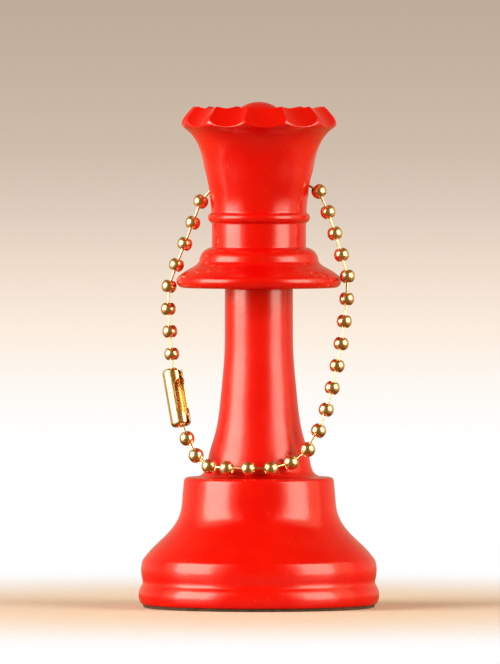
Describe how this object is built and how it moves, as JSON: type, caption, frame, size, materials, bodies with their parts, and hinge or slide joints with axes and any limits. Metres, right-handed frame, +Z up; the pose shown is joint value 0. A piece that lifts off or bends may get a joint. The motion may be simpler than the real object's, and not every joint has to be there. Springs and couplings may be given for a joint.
{
  "type": "chess queen key chain",
  "caption": "Weighted plastic chess queen with a scalloped crown, cross-drilled through the head for a closed loop of brass ball chain.",
  "frame": {"origin": "middle of the felt underside, on the surface that the queen stands on", "axes": "+Z up the queen to the crown; -Y to the front, where the loop hangs; +X to the right of the front view"},
  "size_m": [0.0381, 0.0382, 0.0801],
  "materials": {
    "red_plastic": "polished moulded plastic with fine mould mottling",
    "brass": "polished, brass-plated",
    "steel": "turned",
    "backing": "plain pressed disc",
    "felt": "pressed wool felt"
  },
  "bodies": {
    "queen": {"queen_body": "red_plastic", "queen_head": "red_plastic", "base_weight": "steel", "closing_disc": "backing", "felt_pad": "felt"},
    "bore_chain": {"ball_bore_01": "brass", "ball_bore_02": "brass", "ball_bore_03": "brass", "ball_bore_04": "brass", "ball_bore_05": "brass", "pins_bore": "brass"},
    "loop_row_01": {"ball_left_01": "brass", "ball_right_01": "brass", "pins_row_01": "brass"},
    "loop_row_02": {"ball_left_02": "brass", "ball_right_02": "brass", "pins_row_02": "brass"},
    "loop_row_03": {"ball_left_03": "brass", "ball_right_03": "brass", "pins_row_03": "brass"},
    "loop_row_04": {"ball_left_04": "brass", "ball_right_04": "brass", "pins_row_04": "brass"},
    "loop_row_05": {"ball_left_05": "brass", "ball_right_05": "brass", "pins_row_05": "brass"},
    "loop_row_06": {"ball_left_06": "brass", "ball_right_06": "brass", "pins_row_06": "brass"},
    "loop_row_07": {"ball_left_07": "brass", "ball_right_07": "brass", "pins_row_07": "brass"},
    "loop_row_08": {"ball_left_08": "brass", "ball_right_08": "brass", "pins_row_08": "brass"},
    "loop_row_09": {"ball_left_09": "brass", "ball_right_09": "brass", "ball_right_10": "brass", "ball_right_11": "brass", "pins_row_09": "brass"},
    "loop_row_10": {"ball_right_12": "brass", "ball_right_21": "brass", "pins_row_10": "brass"},
    "loop_row_11": {"ball_right_13": "brass", "ball_right_20": "brass", "pins_row_11": "brass"},
    "loop_row_12": {"ball_right_14": "brass", "ball_right_15": "brass", "ball_right_16": "brass", "ball_right_17": "brass", "ball_right_18": "brass", "ball_right_19": "brass", "pins_row_12": "brass"},
    "connector_sleeve": {"connector": "brass"}
  },
  "joints": [
    {"name": "chain_swing", "type": "hinge", "parent": "queen", "child": "bore_chain", "pos_m": [0, 0, 0.0672], "axis": [-0.9994, 0.0349, 0], "range_deg": [0, 90]},
    {"name": "loop_fold_01", "type": "hinge", "parent": "bore_chain", "child": "loop_row_01", "pos_m": [0.00015, -0.00006, 0.06505], "axis": [-0.9926, 0.0865, -0.0857], "range_deg": [0, 12]},
    {"name": "loop_fold_02", "type": "hinge", "parent": "loop_row_01", "child": "loop_row_02", "pos_m": [0.00023, -0.00038, 0.06175], "axis": [-0.9922, 0.0954, -0.08], "range_deg": [0, 12]},
    {"name": "loop_fold_03", "type": "hinge", "parent": "loop_row_02", "child": "loop_row_03", "pos_m": [0.00014, -0.00064, 0.05839], "axis": [-0.9924, 0.1014, -0.0704], "range_deg": [0, 12]},
    {"name": "loop_fold_04", "type": "hinge", "parent": "loop_row_03", "child": "loop_row_04", "pos_m": [0, -0.00096, 0.05504], "axis": [-0.9918, 0.1115, -0.0622], "range_deg": [0, 12]},
    {"name": "loop_fold_05", "type": "hinge", "parent": "loop_row_04", "child": "loop_row_05", "pos_m": [-0.00012, -0.00134, 0.05166], "axis": [-0.9904, 0.1258, -0.0574], "range_deg": [0, 12]},
    {"name": "loop_fold_06", "type": "hinge", "parent": "loop_row_05", "child": "loop_row_06", "pos_m": [-0.00024, -0.00146, 0.04809], "axis": [-0.9888, 0.1374, -0.0576], "range_deg": [0, 12]},
    {"name": "loop_fold_07", "type": "hinge", "parent": "loop_row_06", "child": "loop_row_07", "pos_m": [-0.00031, -0.00163, 0.04453], "axis": [-0.9863, 0.1537, -0.0599], "range_deg": [0, 12]},
    {"name": "loop_fold_08", "type": "hinge", "parent": "loop_row_07", "child": "loop_row_08", "pos_m": [-0.00041, -0.00186, 0.04099], "axis": [-0.9828, 0.1732, -0.0634], "range_deg": [0, 12]},
    {"name": "loop_fold_09", "type": "hinge", "parent": "loop_row_08", "child": "loop_row_09", "pos_m": [-0.00063, -0.0021, 0.03745], "axis": [-0.979, 0.1923, -0.068], "range_deg": [0, 12]},
    {"name": "loop_fold_10", "type": "hinge", "parent": "loop_row_09", "child": "loop_row_10", "pos_m": [-0.00151, -0.00343, 0.029], "axis": [-0.9706, 0.2278, 0.0776], "range_deg": [0, 12]},
    {"name": "loop_fold_11", "type": "hinge", "parent": "loop_row_10", "child": "loop_row_11", "pos_m": [-0.00184, -0.00473, 0.026], "axis": [-0.9672, 0.2407, 0.0815], "range_deg": [0, 12]},
    {"name": "loop_fold_12", "type": "hinge", "parent": "loop_row_11", "child": "loop_row_12", "pos_m": [-0.00244, -0.00637, 0.02367], "axis": [-0.9624, 0.2641, 0.0644], "range_deg": [0, 12]},
    {"name": "connector_turn", "type": "hinge", "parent": "loop_row_09", "child": "connector_sleeve", "pos_m": [-0.01302, -0.00021, 0.03321], "axis": [0.1694, -0.1906, -0.9669], "continuous": true}
  ]
}
